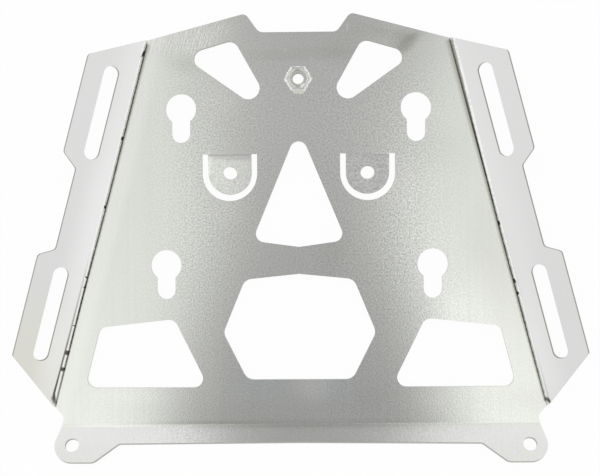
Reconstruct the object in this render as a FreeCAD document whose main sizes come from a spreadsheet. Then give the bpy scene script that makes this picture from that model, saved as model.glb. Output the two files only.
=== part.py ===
"""Top case mounting plate: one folded aluminium sheet with a press-in M8 nut.

Frame: X to the right, +Y towards the narrow front end, +Z up out of the top face.
The origin is on the axis of the press nut, on the top face of the deck.
"""
import FreeCAD, Part
import math
import os
import re

import Sketcher
from FreeCAD import Vector

# Driving sizes, in millimetres and degrees. A name ending in _half is a distance from the
# centre line, _y is a place along Y, and a wing's _along and _out are measured on the
# flat wing, from the front end of its fold line and square to that line.
SIZES = {
    # Sheet and folds
    "sheet_thickness": 3.0,
    "bend_radius": 2.0,
    "neutral_factor": 0.44,
    "wing_fold": 25.0,
    "rear_fold": 25.0,
    "tab_fold": 18.0,
    "score_width": 1.4,
    "score_depth": 1.0,
    # Outline of the deck: the notch between the two horns, the fold lines and the waist
    "notch_half": 24.2,
    "notch_y": 28.9,
    "notch_radius": 5.3,
    "horn_run": 8.4,
    "horn_rise": 11.8,
    "horn_radius": 4.0,
    "fold_front_half": 93.9,
    "fold_front_y": 24.6,
    "fold_rear_half": 152.6,
    "fold_rear_y": -203.3,
    "waist_step": 6.1,
    "waist_drop": 6.1,
    "waist_radius": 4.0,
    "tail_drop": 4.9,
    # Outline of a wing: a front lobe, a dip and a rear lobe
    "lobe_out": 33.1,
    "dip_depth": 9.8,
    "front_lobe_along": 18.4,
    "front_lobe_length": 61.8,
    "front_step_run": 8.1,
    "dip_length": 51.4,
    "rear_step_run": 5.3,
    "rear_lobe_length": 64.0,
    "wing_radius": 3.2,
    "wing_tip_radius": 1.5,
    # Strap slots, one in each lobe; an inset runs from the lobe's front corner to the slot
    "strap_slot_out": 16.5,
    "strap_slot_width": 9.6,
    "strap_slot_pitch_length": 49.7,
    "strap_slot_front_inset": 7.8,
    "strap_slot_rear_inset": 9.2,
    # Rear flange and its ears
    "flange_reach": 11.2,
    "flange_flare": 0.8,
    "flange_radius": 3.5,
    "ear_step_run": 15.3,
    "ear_inner_offset": 13.8,
    "ear_inner_radius": 6.0,
    "ear_hole_inset": 5.6,
    "ear_hole_reach": 12.9,
    "ear_radius": 10.9,
    "ear_hole_diameter": 8.5,
    # Lanced tabs
    "tab_half": 42.8,
    "tab_root_y": -46.7,
    "tab_relief": 1.5,
    "tab_reach": 12.1,
    "tab_width": 26.9,
    "tab_slot_width": 3.6,
    "tab_hole_diameter": 8.7,
    # Keyholes: the rear pair stands wider apart than the front pair
    "keyhole_front_half": 73.0,
    "keyhole_front_y": -18.4,
    "keyhole_pitch": 97.1,
    "keyhole_splay": 9.7,
    "keyhole_head_diameter": 19.0,
    "keyhole_slot_width": 11.5,
    "keyhole_travel": 15.3,
    # Front cut-outs, three-cornered
    "front_window_top_half": 39.8,
    "front_window_top_y": 24.5,
    "front_window_outer_half": 72.3,
    "front_window_outer_y": 15.0,
    "front_window_rear_half": 9.7,
    "front_window_rear_y": -29.3,
    "front_window_radius": 6.0,
    "front_window_tip_radius": 7.0,
    # Centre cut-out, a kite
    "kite_apex_y": -30.3,
    "kite_side_half": 29.1,
    "kite_side_y": -100.6,
    "kite_tail_drop": 4.0,
    "kite_radius": 5.4,
    # Six-sided cut-out behind it; a web is the sheet left between two cuts
    "hex_window_peak_web": 16.7,
    "hex_window_front_half": 33.8,
    "hex_window_front_drop": 3.4,
    "hex_window_side_half": 47.4,
    "hex_window_side_drop": 33.0,
    "hex_window_rear_half": 32.7,
    "hex_window_rear_web": 27.6,
    "hex_window_radius": 6.8,
    # Rear cut-outs, four-cornered
    "rear_window_fold_web": 15.7,
    "rear_window_front_web": 12.4,
    "rear_window_front_drop": 5.1,
    "rear_window_inner_half": 77.8,
    "rear_window_toe_half": 56.6,
    "rear_window_rear_web": 22.8,
    "rear_window_radius": 5.8,
    # Press nut
    "nut_across_flats": 14.4,
    "nut_bore_diameter": 6.8,
    "nut_shoulder_overhang": 0.7,
    "nut_shoulder_height": 3.5,
    "nut_press_clearance": 0.02,
}

# Sizes worked out from the driving ones. A setback is the distance, on the top face, from
# the sharp corner of a fold to where the flat sheet begins again; tab_arc is the length of
# flat sheet that the tab's bend takes up.
DERIVED = {
    "fold_azimuth": "=atan2(fold_rear_y - fold_front_y; fold_rear_half - fold_front_half)",
    "fold_length": "=hypot(fold_rear_y - fold_front_y; fold_rear_half - fold_front_half)",
    "wing_setback": "=bend_radius * tan(wing_fold / 2)",
    "rear_setback": "=bend_radius * tan(rear_fold / 2)",
    "tab_setback": "=(bend_radius + sheet_thickness) * tan(tab_fold / 2)",
    "tab_arc": "=(bend_radius + neutral_factor * sheet_thickness) * tab_fold * pi / 180",
    "horn_half": "=notch_half + horn_run",
    "horn_y": "=notch_y + horn_rise",
    "waist_half": "=fold_rear_half - waist_step",
    "waist_y": "=fold_rear_y - waist_drop",
    "rear_fold_y": "=waist_y - tail_drop",
    "dip_out": "=lobe_out - dip_depth",
    "front_step_along": "=front_lobe_along + front_lobe_length",
    "front_dip_along": "=front_step_along + front_step_run",
    "rear_dip_along": "=front_dip_along + dip_length",
    "rear_step_along": "=rear_dip_along + rear_step_run",
    "rear_lobe_along": "=rear_step_along + rear_lobe_length",
    "strap_slot_front_along": "=front_lobe_along + strap_slot_front_inset",
    "strap_slot_rear_along": "=rear_step_along + strap_slot_rear_inset",
    "ear_hole_half": "=waist_half - ear_hole_inset",
    "ear_inner_half": "=ear_hole_half - ear_inner_offset",
    "flange_step_half": "=ear_inner_half - ear_step_run",
    "ear_length": "=tail_drop + ear_hole_reach",
    "ear_slant":
        "=asin(ear_radius / hypot(ear_hole_inset; ear_length)) - atan(ear_hole_inset / ear_length)",
    "rear_fold_half": "=waist_half + tail_drop * tan(ear_slant)",
    "ear_corner_half": "=waist_half + (ear_length + ear_radius) * tan(ear_slant)",
    "keyhole_rear_half": "=keyhole_front_half + keyhole_splay",
    "keyhole_rear_y": "=keyhole_front_y - keyhole_pitch",
    "keyhole_rear_end_y": "=keyhole_rear_y - keyhole_travel - keyhole_slot_width / 2",
    "kite_tail_y": "=kite_side_y - kite_tail_drop",
    "hex_window_peak_y": "=kite_tail_y - hex_window_peak_web",
    "hex_window_front_y": "=hex_window_peak_y - hex_window_front_drop",
    "hex_window_side_y": "=hex_window_front_y - hex_window_side_drop",
    "hex_window_rear_y": "=rear_fold_y + hex_window_rear_web",
    "rear_window_inner_y": "=keyhole_rear_end_y - rear_window_front_web",
    "rear_window_outer_y": "=rear_window_inner_y - rear_window_front_drop",
    "rear_window_rear_y": "=rear_fold_y + rear_window_rear_web",
    "rear_window_edge_half": "=fold_front_half - rear_window_fold_web",
    "rear_window_outer_half":
        "=rear_window_edge_half + (rear_window_outer_y - fold_front_y) / tan(fold_azimuth)",
    "rear_window_heel_half":
        "=rear_window_edge_half + (rear_window_rear_y - fold_front_y) / tan(fold_azimuth)",
    "nut_corner": "=nut_across_flats / 2 / cos(30)",
    "nut_shoulder_diameter": "=2 * (nut_corner + nut_shoulder_overhang)",
}

FLAT = "placement(vector(0; 0; 0); rotation(0; 0; 0))"
NAME_PATTERN = re.compile(r"[a-z_]\w*")


def make_sheet(doc):
    """The spreadsheet that holds every size, each in a cell named by its alias."""
    sheet = doc.addObject("Spreadsheet::Sheet", "Sizes")
    cells = [(name, str(value)) for name, value in SIZES.items()]
    cells += list(DERIVED.items())
    for row, (name, text) in enumerate(cells, 1):
        sheet.set("A%d" % row, name)
        sheet.set("B%d" % row, text)
        sheet.setAlias("B%d" % row, name)
    doc.recompute()
    return sheet


def bound(text):
    """The expression with every size name pointed at its cell in the spreadsheet."""
    def point(match):
        word = match.group()
        return "Sizes." + word if word in SIZES or word in DERIVED else word
    return NAME_PATTERN.sub(point, str(text))


def size(doc, text):
    """The present value of an expression of sizes, as a plain number."""
    value = doc.getObject("Sizes").evalExpression(bound(text))
    return float(getattr(value, "Value", value))


def new_sketch(body, name, offset=FLAT):
    """A sketch on the body's XY plane, moved and turned by the offset expression."""
    sketch = body.newObject("Sketcher::SketchObject", name)
    plane = next(item for item in body.Origin.OriginFeatures if item.Role == "XY_Plane")
    sketch.AttachmentSupport = (plane, [""])
    sketch.MapMode = "FlatFace"
    sketch.setExpression("AttachmentOffset", bound(offset))
    return sketch


def bind_constraint(sketch, kind, *arguments):
    """Adds a dimension whose value, the last argument, is an expression of sizes."""
    text = arguments[-1]
    value = size(sketch.Document, text)
    number = sketch.addConstraint(Sketcher.Constraint(kind, *arguments[:-1], value))
    sketch.setExpression("Constraints[%d]" % number, bound(text))


def pin_point(sketch, geometry, end, x, y):
    """Ties one end of a piece of geometry to the place (x, y)."""
    bind_constraint(sketch, "DistanceX", -1, 1, geometry, end, x)
    bind_constraint(sketch, "DistanceY", -1, 1, geometry, end, y)


def add_outline(sketch, corners):
    """A closed outline of straight lines through the corners, each an (x, y) of expressions."""
    doc = sketch.Document
    places = [Vector(size(doc, x), size(doc, y), 0) for x, y in corners]
    first = sketch.GeometryCount
    for number, place in enumerate(places):
        sketch.addGeometry(Part.LineSegment(place, places[(number + 1) % len(places)]), False)
    for number, (x, y) in enumerate(corners):
        pin_point(sketch, first + number, 1, x, y)
    for number in range(len(corners)):
        following = first + (number + 1) % len(corners)
        sketch.addConstraint(Sketcher.Constraint("Coincident", first + number, 2, following, 1))


def add_circle(sketch, x, y, diameter):
    """A circle about (x, y)."""
    doc = sketch.Document
    centre = Vector(size(doc, x), size(doc, y), 0)
    circle = sketch.addGeometry(Part.Circle(centre, Vector(0, 0, 1), size(doc, diameter) / 2), False)
    pin_point(sketch, circle, 3, x, y)
    bind_constraint(sketch, "Diameter", circle, diameter)


def add_slot(sketch, start, end, width):
    """A slot with round ends about two centres that lie along the sketch's X or Y."""
    doc = sketch.Document
    centres = [Vector(size(doc, x), size(doc, y), 0) for x, y in (start, end)]
    radius = size(doc, width) / 2
    along = (centres[1] - centres[0]).normalize()
    heading = math.atan2(along.y, along.x)
    side = Vector(-along.y, along.x, 0) * radius
    quarter = math.pi / 2
    axis = Vector(0, 0, 1)
    circles = [Part.Circle(centre, axis, radius) for centre in centres]
    near = Part.ArcOfCircle(circles[0], heading + quarter, heading + 3 * quarter)
    far = Part.ArcOfCircle(circles[1], heading - quarter, heading + quarter)
    near_arc = sketch.addGeometry(near, False)
    right_line = sketch.addGeometry(Part.LineSegment(centres[0] - side, centres[1] - side), False)
    far_arc = sketch.addGeometry(far, False)
    left_line = sketch.addGeometry(Part.LineSegment(centres[1] + side, centres[0] + side), False)
    joints = ((near_arc, 2, right_line, 1), (right_line, 2, far_arc, 1),
              (far_arc, 2, left_line, 1), (left_line, 2, near_arc, 1))
    for joint in joints:
        sketch.addConstraint(Sketcher.Constraint("Tangent", *joint))
    pin_point(sketch, near_arc, 3, *start)
    pin_point(sketch, far_arc, 3, *end)
    bind_constraint(sketch, "Radius", near_arc, "(%s) / 2" % width)


def pad_down(body, sketch, name):
    """Sheet metal below the sketch, which lies on its top face."""
    pad = body.newObject("PartDesign::Pad", name)
    pad.Profile = sketch
    pad.setExpression("Length", bound("sheet_thickness"))
    pad.Reversed = True
    return pad


def cut_through(body, sketch, name):
    """A cut straight through the sheet on which the sketch lies."""
    before = body.Shape.Volume
    pocket = body.newObject("PartDesign::Pocket", name)
    pocket.Profile = sketch
    pocket.Midplane = True
    pocket.setExpression("Length", bound("4 * sheet_thickness"))
    body.Document.recompute()
    if not pocket.Shape.Volume < before:
        raise ValueError("%s cut nothing" % name)
    return pocket


def bend(body, name, offset, length, radius, fold):
    """The bent stretch of sheet: a strip turned about the bend axis, which is the sketch's X."""
    sketch = new_sketch(body, name + "_section", offset)
    near, far = "-(%s)" % radius, "-(%s) - sheet_thickness" % radius
    add_outline(sketch, [("0", near), (length, near), (length, far), ("0", far)])
    turn = body.newObject("PartDesign::Revolution", name)
    turn.Profile = sketch
    turn.ReferenceAxis = (sketch, ["H_Axis"])
    turn.setExpression("Angle", bound(fold))
    return turn


def round_corners(body, name, sketch, corners, radius):
    """Rounds the sheet's upright edges at the given corners of a sketch that is on its top face."""
    doc = body.Document
    doc.recompute()
    upright = sketch.Placement.Rotation.multVec(Vector(0, 0, 1))
    places = [sketch.Placement.multVec(Vector(size(doc, x), size(doc, y), 0)) for x, y in corners]
    base = body.Tip
    chosen = []
    for place in places:
        for number, edge in enumerate(base.Shape.Edges, 1):
            ends = [vertex.Point for vertex in edge.Vertexes]
            if len(ends) != 2 or min(end.distanceToPoint(place) for end in ends) > 1e-4:
                continue
            span = ends[1] - ends[0]
            if span.cross(upright).Length < 1e-6 * span.Length:
                chosen.append("Edge%d" % number)
    if len(chosen) != len(places):
        raise ValueError("%s found %d of %d corners" % (name, len(chosen), len(places)))
    fillet = body.newObject("PartDesign::Fillet", name)
    fillet.Base = (base, chosen)
    fillet.setExpression("Radius", bound(radius))
    doc.recompute()


def mirrored_corners(corners):
    """The corners of the right half and, going back, their mirror images on the left."""
    left = [("-(%s)" % x, y) for x, y in reversed(corners) if x != "0"]
    return corners + left


def make_deck(body):
    """The right half of the flat deck, up to its fold lines."""
    sketch = new_sketch(body, "deck_outline")
    drawn_in = "wing_setback * sin(fold_azimuth)"
    drawn_down = "wing_setback * cos(fold_azimuth)"
    rear_edge = "rear_fold_y + rear_setback"
    notch = ("notch_half", "notch_y")
    horn = ("horn_half", "horn_y")
    fold_front = ("fold_front_half + " + drawn_in, "fold_front_y - " + drawn_down)
    fold_rear = ("fold_rear_half + " + drawn_in, "fold_rear_y - " + drawn_down)
    waist = ("waist_half", "waist_y")
    add_outline(sketch, [("0", "notch_y"), notch, horn, fold_front, fold_rear, waist,
                         ("rear_fold_half", rear_edge), ("0", rear_edge)])
    pad_down(body, sketch, "deck")
    round_corners(body, "notch_corner", sketch, [notch], "notch_radius")
    round_corners(body, "horn_corner", sketch, [horn], "horn_radius")
    round_corners(body, "waist_corner", sketch, [waist], "waist_radius")


def make_wing(body):
    """The right wing, folded up along the slanting fold line, with its scored groove and slots."""
    origin_x = "fold_front_half + wing_setback * sin(fold_azimuth)"
    origin_y = "fold_front_y - wing_setback * cos(fold_azimuth)"
    bend_place = ("placement(vector(%s; %s; bend_radius); rotation(fold_azimuth; 0; 90))"
                  % (origin_x, origin_y))
    bend(body, "wing_bend", bend_place, "fold_length", "bend_radius", "wing_fold")

    place = "placement(vector(fold_front_half; fold_front_y; 0); rotation(fold_azimuth; 0; wing_fold))"
    sketch = new_sketch(body, "wing_outline", place)
    soft = [("front_lobe_along", "lobe_out"), ("front_step_along", "lobe_out"),
            ("front_dip_along", "dip_out"), ("rear_dip_along", "dip_out"),
            ("rear_step_along", "lobe_out"), ("rear_lobe_along", "lobe_out")]
    root = [("fold_length", "wing_setback"), ("0", "wing_setback")]
    add_outline(sketch, soft + root)
    pad_down(body, sketch, "wing")
    round_corners(body, "wing_corners", sketch, soft[:-1], "wing_radius")
    round_corners(body, "wing_tip", sketch, soft[-1:], "wing_tip_radius")

    slots = new_sketch(body, "strap_slot_outlines", place)
    for start in ("strap_slot_front_along", "strap_slot_rear_along"):
        ends = ((start, "strap_slot_out"), (start + " + strap_slot_pitch_length", "strap_slot_out"))
        add_slot(slots, *ends, "strap_slot_width")
    cut_through(body, slots, "strap_slots")

    # The groove's section is square to the fold line and splits the fold angle in two.
    # It starts from the fold line's front end and runs past both ends.
    score_place = ("placement(vector(fold_front_half; fold_front_y; 0);"
                   " rotation(fold_azimuth; 0; wing_fold / 2) * rotation(90; 0; 90))")
    score = new_sketch(body, "score_section", score_place)
    lip_half = "score_width / 2"
    lip_rise = "score_width / 2 * tan(wing_fold / 2)"
    add_outline(score, [("-(%s)" % lip_half, lip_rise), ("0", "-score_depth"), (lip_half, lip_rise)])
    groove = body.newObject("PartDesign::Pocket", "score")
    groove.Profile = score
    groove.Midplane = True
    groove.setExpression("Length", bound("2 * (fold_length + sheet_thickness)"))
    body.Document.recompute()


def make_rear_flange(body):
    """The right half of the rear flange, folded up, with its ear and hole."""
    bend_place = ("placement(vector(rear_fold_half; rear_fold_y + rear_setback; bend_radius);"
                  " rotation(180; 0; 90))")
    bend(body, "rear_bend", bend_place, "rear_fold_half", "bend_radius", "rear_fold")

    place = "placement(vector(0; rear_fold_y; 0); rotation(0; 0; -rear_fold))"
    sketch = new_sketch(body, "flange_outline", place)
    ear_end = "-(ear_hole_reach + ear_radius)"
    ear_corner = ("ear_corner_half", ear_end)
    ear_inner = ("ear_inner_half", ear_end)
    step = ("flange_step_half", "-(flange_reach + flange_flare)")
    add_outline(sketch, [("0", "-rear_setback"), ("rear_fold_half", "-rear_setback"),
                         ear_corner, ear_inner, step, ("0", "-flange_reach")])
    pad_down(body, sketch, "flange")
    round_corners(body, "ear_corner", sketch, [ear_corner], "ear_radius")
    round_corners(body, "flange_step", sketch, [step], "flange_radius")
    round_corners(body, "ear_inner_corner", sketch, [ear_inner], "ear_inner_radius")

    hole = new_sketch(body, "ear_hole_outline", place)
    add_circle(hole, "ear_hole_half", "-ear_hole_reach", "ear_hole_diameter")
    cut_through(body, hole, "ear_hole")


def make_tab(body):
    """The right lanced tab: a U-shaped slot round a tongue that is bent down at its root."""
    slot = new_sketch(body, "tab_slot_outline")
    add_tongue(slot, "tab_root_y", "tab_root_y - tab_reach", "tab_width / 2 + tab_slot_width")
    cut_through(body, slot, "tab_slot")

    # The tongue stays flat for a short way past the slot's ends, and its bend begins there.
    base = new_sketch(body, "tab_base_outline")
    left, right = "tab_half - tab_width / 2", "tab_half + tab_width / 2"
    bend_start = "tab_root_y - tab_relief"
    add_outline(base, [(left, "tab_root_y"), (right, "tab_root_y"),
                       (right, bend_start), (left, bend_start)])
    pad_down(body, base, "tab_base")

    bend_place = ("placement(vector(%s; %s; -(sheet_thickness + bend_radius)); rotation(0; 0; 90))"
                  % (left, bend_start))
    bend(body, "tab_bend", bend_place, "tab_width", "-(bend_radius + sheet_thickness)", "tab_fold")

    place = "placement(vector(0; %s - tab_setback; 0); rotation(0; 0; tab_fold))" % bend_start
    tongue = new_sketch(body, "tab_outline", place)
    hole_y = "-(tab_setback + tab_reach - tab_relief - tab_arc)"
    add_tongue(tongue, "-tab_setback", hole_y, "tab_width / 2")
    add_circle(tongue, "tab_half", hole_y, "tab_hole_diameter")
    pad_down(body, tongue, "tab")


def add_tongue(sketch, root_y, end_y, radius):
    """A tongue about the tab's middle line: square at the root, half round about end_y."""
    doc = sketch.Document
    reach = size(doc, radius)
    centre = Vector(size(doc, "tab_half"), size(doc, end_y), 0)
    side = Vector(reach, 0, 0)
    up = Vector(0, size(doc, root_y) - centre.y, 0)
    root = sketch.addGeometry(Part.LineSegment(centre + side + up, centre - side + up), False)
    left = sketch.addGeometry(Part.LineSegment(centre - side + up, centre - side), False)
    circle = Part.Circle(centre, Vector(0, 0, 1), reach)
    tip = sketch.addGeometry(Part.ArcOfCircle(circle, math.pi, 2 * math.pi), False)
    right = sketch.addGeometry(Part.LineSegment(centre + side, centre + side + up), False)
    sketch.addConstraint(Sketcher.Constraint("Coincident", root, 2, left, 1))
    sketch.addConstraint(Sketcher.Constraint("Tangent", left, 2, tip, 1))
    sketch.addConstraint(Sketcher.Constraint("Tangent", tip, 2, right, 1))
    sketch.addConstraint(Sketcher.Constraint("Coincident", right, 2, root, 1))
    pin_point(sketch, tip, 3, "tab_half", end_y)
    bind_constraint(sketch, "Radius", tip, radius)
    pin_point(sketch, root, 1, "tab_half + %s" % radius, root_y)
    sketch.addConstraint(Sketcher.Constraint("Horizontal", root))


def make_side_cuts(body):
    """The keyholes and the front and rear cut-outs of the right half."""
    heads = new_sketch(body, "keyhole_head_outlines")
    slots = new_sketch(body, "keyhole_slot_outlines")
    for row in ("front", "rear"):
        middle, head_y = "keyhole_%s_half" % row, "keyhole_%s_y" % row
        add_circle(heads, middle, head_y, "keyhole_head_diameter")
        add_slot(slots, (middle, head_y), (middle, head_y + " - keyhole_travel"), "keyhole_slot_width")
    cut_through(body, heads, "keyhole_heads")
    cut_through(body, slots, "keyhole_slots")

    front = [("front_window_top_half", "front_window_top_y"),
             ("front_window_outer_half", "front_window_outer_y"),
             ("front_window_rear_half", "front_window_rear_y")]
    rear = [("rear_window_outer_half", "rear_window_outer_y"),
            ("rear_window_inner_half", "rear_window_inner_y"),
            ("rear_window_toe_half", "rear_window_rear_y"),
            ("rear_window_heel_half", "rear_window_rear_y")]
    cut_window(body, "front_window", front, front[:2])
    round_corners(body, "front_window_tip", body.getObject("front_window_outline"), front[2:],
                  "front_window_tip_radius")
    cut_window(body, "rear_window", rear, rear)


def cut_window(body, name, corners, rounded):
    """A cut-out through the deck with straight sides and some or all of its corners rounded."""
    sketch = new_sketch(body, name + "_outline")
    add_outline(sketch, corners)
    cut_through(body, sketch, name)
    round_corners(body, name + "_corners", sketch, rounded, name + "_radius")


def make_centre_cuts(body):
    """The cut-outs that lie across the centre line, and the nut's six-sided hole."""
    apex, side, tail = ("0", "kite_apex_y"), ("kite_side_half", "kite_side_y"), ("0", "kite_tail_y")
    cut_window(body, "kite", mirrored_corners([apex, side, tail]), [apex] + mirrored_corners([side]))

    peak = ("0", "hex_window_peak_y")
    half = [("hex_window_front_half", "hex_window_front_y"),
            ("hex_window_side_half", "hex_window_side_y"),
            ("hex_window_rear_half", "hex_window_rear_y")]
    cut_window(body, "hex_window", mirrored_corners([peak] + half), mirrored_corners(half))

    hole = new_sketch(body, "nut_hole_outline")
    add_hexagon(hole, "nut_corner")
    cut_through(body, hole, "nut_hole")


def add_hexagon(sketch, corner):
    """A hexagon about the origin with two of its corners on the X axis."""
    turns = range(0, 360, 60)
    add_outline(sketch, [("(%s) * cos(%d)" % (corner, turn), "(%s) * sin(%d)" % (corner, turn))
                         for turn in turns])


def make_plate(doc):
    """The folded sheet: its right half, mirrored, then the cuts across the centre line."""
    body = doc.addObject("PartDesign::Body", "mounting_plate")
    body.Label = "mounting_plate"
    make_deck(body)
    make_wing(body)
    make_rear_flange(body)
    make_tab(body)
    make_side_cuts(body)
    mirror = body.newObject("PartDesign::Mirrored", "left_half")
    mirror.TransformMode = "Whole shape"
    plane = next(item for item in body.Origin.OriginFeatures if item.Role == "YZ_Plane")
    mirror.MirrorPlane = (plane, [""])
    mirror.Refine = True
    body.Tip = mirror
    doc.recompute()
    make_centre_cuts(body)
    return body


def make_nut(doc):
    """The press nut: a six-sided shank flush with the deck, on a round shoulder below it."""
    body = doc.addObject("PartDesign::Body", "press_nut")
    body.Label = "press_nut"
    shank_outline = new_sketch(body, "shank_outline")
    add_hexagon(shank_outline, "nut_corner - nut_press_clearance / cos(30)")
    pad_down(body, shank_outline, "shank")

    shoulder_outline = new_sketch(body, "shoulder_outline",
                                  "placement(vector(0; 0; -sheet_thickness); rotation(0; 0; 0))")
    add_circle(shoulder_outline, "0", "0", "nut_shoulder_diameter")
    shoulder = body.newObject("PartDesign::Pad", "shoulder")
    shoulder.Profile = shoulder_outline
    shoulder.setExpression("Length", bound("nut_shoulder_height"))
    shoulder.Reversed = True
    doc.recompute()

    bore_outline = new_sketch(body, "bore_outline")
    add_circle(bore_outline, "0", "0", "nut_bore_diameter")
    bore = body.newObject("PartDesign::Pocket", "bore")
    bore.Profile = bore_outline
    bore.Type = "ThroughAll"
    bore.Midplane = True
    doc.recompute()

    return body


def check(doc, bodies):
    """Stops before anything is written if an object failed or a solid isn't sound."""
    for item in doc.Objects:
        if "Invalid" in item.State or "Error" in item.State:
            raise ValueError("%s is %s" % (item.Name, item.State))
    for body in bodies:
        shape = body.Shape
        if shape.isNull() or not shape.isValid() or len(shape.Solids) != 1:
            raise ValueError("%s isn't one sound solid" % body.Label)


def main():
    """Builds the two pieces and writes each to its own file."""
    doc = FreeCAD.newDocument("top_case_mounting_plate")
    make_sheet(doc)
    bodies = [make_plate(doc), make_nut(doc)]
    doc.recompute()
    check(doc, bodies)
    os.makedirs("parts", exist_ok=True)
    for body in bodies:
        body.Shape.exportStep("parts/%s.step" % body.Label)
        box = body.Shape.BoundBox
        print("%s: %.0f mm3, X %.1f to %.1f, Y %.1f to %.1f, Z %.1f to %.1f" % (
            body.Label, body.Shape.Volume, box.XMin, box.XMax, box.YMin, box.YMax, box.ZMin, box.ZMax))


main()
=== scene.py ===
"""The top case mounting plate in a plain studio: its metal finishes and the nut's fine form.

Lengths are in millimetres of the part's own frame and angles in degrees, unless a line says
otherwise. The plate's front lies towards +Y. A step's two numbers are where it begins and
ends; a band's three are its middle, its half width and how far each side falls off.
"""
import sys
import logging
import math
from collections.abc import Callable
from dataclasses import dataclass
from enum import Enum

import bpy
import numpy as np
from mathutils import Matrix, Vector


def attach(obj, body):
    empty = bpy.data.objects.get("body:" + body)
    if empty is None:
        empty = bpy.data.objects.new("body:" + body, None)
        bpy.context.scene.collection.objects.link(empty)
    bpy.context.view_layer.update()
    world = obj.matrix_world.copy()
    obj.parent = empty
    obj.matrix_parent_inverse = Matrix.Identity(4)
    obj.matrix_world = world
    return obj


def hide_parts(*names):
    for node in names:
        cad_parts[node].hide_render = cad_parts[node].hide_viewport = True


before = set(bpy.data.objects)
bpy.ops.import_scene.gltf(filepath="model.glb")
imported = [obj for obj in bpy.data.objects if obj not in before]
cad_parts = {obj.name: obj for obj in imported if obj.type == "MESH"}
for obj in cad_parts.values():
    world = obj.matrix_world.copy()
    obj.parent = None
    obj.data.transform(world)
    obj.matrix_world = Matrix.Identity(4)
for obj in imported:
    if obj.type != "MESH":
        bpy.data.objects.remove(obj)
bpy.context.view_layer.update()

Socket = bpy.types.NodeSocket
Pair = tuple[float, float]
Triple = tuple[float, float, float]
Colour = Triple
Stops = tuple[Pair, ...]

MM = 0.001  # in metres
TALL = 1e4  # a mark's reach up and down, so that it shows at any height
SOFT_RIM = 0.4
SHARP_ANGLE = 38.0
WHITE: Colour = (1.0, 1.0, 1.0)
MIX_SHARE, MIX_FIRST, MIX_SECOND, MIX_RESULT = 0, 6, 7, 2  # a colour Mix node's own sockets


def operator(operation: str, swapped: bool = False) -> Callable[..., "Signal"]:
    """A method of a signal that adds a Math node.

    Args:
        operation: What the node does.
        swapped: Whether the other value comes first.

    Returns:
        The method, for the signal and any other values.
    """
    def method(signal: "Signal", *others: "Signal | float") -> "Signal":
        """The operation's result."""
        return signal.bench.math(operation, *((*others, signal) if swapped else (signal, *others)))
    return method


@dataclass(frozen=True, eq=False)
class Signal:
    """A node's output, on which Python's operators add Math nodes."""
    bench: "Bench"
    socket: Socket

    __add__, __radd__ = operator("ADD"), operator("ADD", True)
    __sub__, __rsub__ = operator("SUBTRACT"), operator("SUBTRACT", True)
    __mul__, __rmul__ = operator("MULTIPLY"), operator("MULTIPLY", True)
    __truediv__, __abs__ = operator("DIVIDE"), operator("ABSOLUTE")
    smaller, larger = operator("MINIMUM"), operator("MAXIMUM")

    def towards(self, other: "Signal", share: "Signal") -> "Signal":
        """A straight blend: this signal where the share is 0, and the other where it is 1."""
        return self + (other - self) * share

    def rise(self, low: float, high: float) -> "Signal":
        """A soft step: 0 up to the low value, 1 from the high one, smooth between them.

        Args:
            low: Where the step begins.
            high: Where it ends; below the low value, the step falls instead.

        Returns:
            The step's height.
        """
        turned = high < low
        step = self.bench.node("ShaderNodeMapRange", {
            "Value": self, "From Min": min(low, high), "From Max": max(low, high),
            "To Min": float(turned), "To Max": float(not turned)},
            interpolation_type="SMOOTHSTEP")
        return Signal(self.bench, step.outputs["Result"])

    def curve(self, stops: Stops) -> "Signal":
        """A level that runs in straight lines between stops and stays flat beyond them.

        Args:
            stops: Pairs of this signal's value and the level there, in order of the value.

        Returns:
            The level.
        """
        low, high = stops[0][0], stops[-1][0]
        share = self.bench.node("ShaderNodeMapRange", {
            "Value": self, "From Min": low, "From Max": high})
        ramp = self.bench.node("ShaderNodeValToRGB", {0: share.outputs["Result"]})
        places = ramp.color_ramp.elements
        for number, (value, level) in enumerate(stops):
            at = (value - low) / (high - low)
            stop = places[number] if number < 2 else places.new(at)
            stop.position = at
            stop.color = (level, level, level, 1.0)
        return Signal(self.bench, ramp.outputs[0])

    def band(self, centre: float, half: float, soft: float) -> "Signal":
        """1 within half of the centre, falling to 0 over the soft distance on either side."""
        return abs(self - centre).rise(half + soft, half)


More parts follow.
